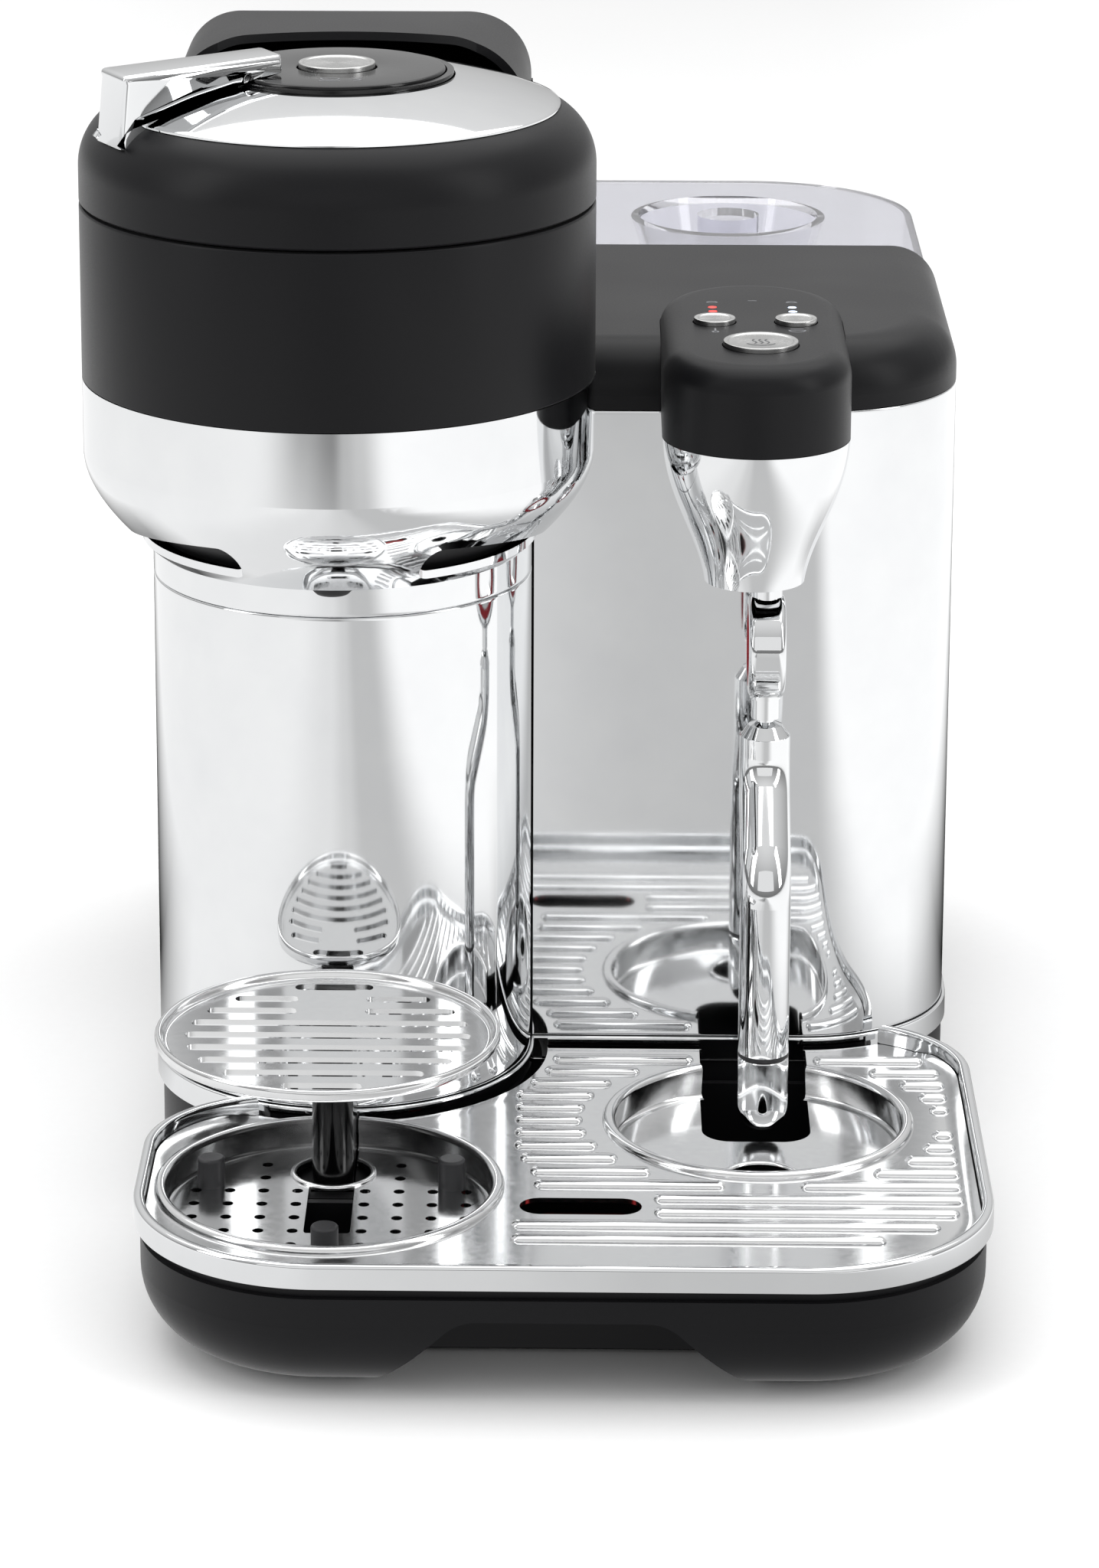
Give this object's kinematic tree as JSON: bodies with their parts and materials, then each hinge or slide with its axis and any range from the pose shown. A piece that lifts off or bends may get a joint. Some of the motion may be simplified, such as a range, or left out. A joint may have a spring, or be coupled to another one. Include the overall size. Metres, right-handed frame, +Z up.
{
  "type": "pod coffee machine",
  "caption": "Countertop capsule coffee machine: hinged round brewing head on a column, bright body with frothing wand, sliding drip tray, raised cup support, clear tank and capsule bin.",
  "frame": {"origin": "on the counter, under the middle of the machine's box", "axes": "+X to the user's right, +Y to the back, +Z up; the cup side faces -Y"},
  "size_m": [0.2426, 0.418, 0.3229],
  "materials": {
    "black_shell": "soft-touch moulded ABS",
    "inner_plastic": "moulded polypropylene, fine matt",
    "polished_steel": "mirror polished stainless steel",
    "pressed_steel": "pressed and polished stainless sheet",
    "spun_metal": "turned face with fine rings",
    "plain_steel": "plain zinc-bright steel",
    "cast_aluminium": "as cast",
    "motor_case": "dark enamel",
    "gloss_black": "polished moulding",
    "clear_plastic": "clear moulded copolyester",
    "rubber": "matt",
    "red_rubber": "satin silicone",
    "red_float": "satin moulding",
    "red_lens": "clear tinted lens",
    "white_lens": "diffusing lens",
    "circuit_board": "solder mask"
  },
  "bodies": {
    "chassis": {"base_chassis": "black_shell", "base_plate": "black_shell", "rubber_feet": "rubber", "base_screws": "plain_steel", "foot_ring": "polished_steel", "cord_gland": "rubber", "control_board": "circuit_board", "column_shell": "polished_steel", "neck_collar": "polished_steel", "thermoblock": "cast_aluminium", "bowl": "polished_steel", "bowl_liner": "inner_plastic", "head_band": "black_shell", "brew_deck": "inner_plastic", "coffee_spout": "inner_plastic", "spin_motor": "motor_case", "rear_tower": "black_shell", "hinge_pin": "plain_steel", "body_shell": "polished_steel", "body_back": "black_shell", "body_cap": "black_shell", "water_pump": "motor_case", "steam_heater": "cast_aluminium", "tank_seat": "inner_plastic", "pod_cap": "black_shell", "lamps_red": "red_lens", "lamps_white": "white_lens", "pod_board": "circuit_board", "pod_bell": "polished_steel", "steam_socket": "inner_plastic", "post_socket": "black_shell"},
    "rotor": {"rotor_shaft": "plain_steel", "capsule_holder": "inner_plastic"},
    "lid": {"hinge_cover": "black_shell", "lid_shell": "black_shell", "lid_dome": "polished_steel", "lid_liner": "inner_plastic", "brew_head": "inner_plastic", "control_disc": "gloss_black"},
    "lever": {"lever_ring": "gloss_black", "lever_blade": "polished_steel"},
    "brew_key": {"brew_button": "spun_metal"},
    "start_key": {"start_button": "spun_metal"},
    "temperature_key": {"temperature_button": "spun_metal"},
    "froth_key": {"froth_button": "spun_metal"},
    "wand": {"wand_ball": "polished_steel", "wand_hoop": "polished_steel", "hoop_insert": "red_rubber", "wand_tube": "polished_steel", "wand_tip": "polished_steel"},
    "tray": {"tray_base": "black_shell", "tray_trim": "polished_steel", "drip_cover": "pressed_steel", "cover_pads": "rubber"},
    "float": {"tray_float": "red_float"},
    "cup_support": {"cup_post": "gloss_black", "cup_disc": "pressed_steel"},
    "tank": {"tank_shell": "clear_plastic"},
    "tank_cover": {"tank_lid": "clear_plastic"},
    "bin": {"capsule_container": "black_shell"}
  },
  "joints": [
    {"name": "lid_hinge", "type": "hinge", "parent": "chassis", "child": "lid", "pos_m": [-0.052, 0.041, 0.29], "axis": [-1, 0, 0], "range_deg": [0, 60]},
    {"name": "lever_turn", "type": "hinge", "parent": "lid", "child": "lever", "pos_m": [-0.0523, -0.059, 0.3], "axis": [0, 0, 1], "range_deg": [0, 50]},
    {"name": "brew_press", "type": "slide", "parent": "lid", "child": "brew_key", "axis": [0, 0, -1], "range_m": [0, 0.0015], "stiffness_N_per_m": 400, "springref_m": -0.002},
    {"name": "capsule_spin", "type": "hinge", "parent": "chassis", "child": "rotor", "pos_m": [-0.0523, -0.059, 0.24], "axis": [0, 0, 1], "continuous": true},
    {"name": "start_press", "type": "slide", "parent": "chassis", "child": "start_key", "axis": [0, 0, -1], "range_m": [0, 0.0015], "stiffness_N_per_m": 400, "springref_m": -0.002},
    {"name": "temperature_press", "type": "slide", "parent": "chassis", "child": "temperature_key", "axis": [0, 0, -1], "range_m": [0, 0.0015], "stiffness_N_per_m": 400, "springref_m": -0.002},
    {"name": "froth_press", "type": "slide", "parent": "chassis", "child": "froth_key", "axis": [0, 0, -1], "range_m": [0, 0.0015], "stiffness_N_per_m": 400, "springref_m": -0.002},
    {"name": "wand_swing", "type": "hinge", "parent": "chassis", "child": "wand", "pos_m": [0.0635, -0.065, 0.182], "axis": [-1, 0, 0], "range_deg": [0, 30]},
    {"name": "tray_slide", "type": "slide", "parent": "chassis", "child": "tray", "axis": [0, -1, 0], "range_m": [0, 0.15]},
    {"name": "float_rise", "type": "slide", "parent": "tray", "child": "float", "axis": [0, 0, 1], "range_m": [0, 0.012]},
    {"name": "support_lift", "type": "slide", "parent": "chassis", "child": "cup_support", "axis": [0, 0, 1], "range_m": [0, 0.08]},
    {"name": "tank_lift", "type": "slide", "parent": "chassis", "child": "tank", "axis": [0, 0, 1], "range_m": [0, 0.2]},
    {"name": "tank_lid_lift", "type": "slide", "parent": "tank", "child": "tank_cover", "axis": [0, 0, 1], "range_m": [0, 0.04]},
    {"name": "container_lift", "type": "slide", "parent": "chassis", "child": "bin", "axis": [0, 0, 1], "range_m": [0, 0.2]}
  ]
}
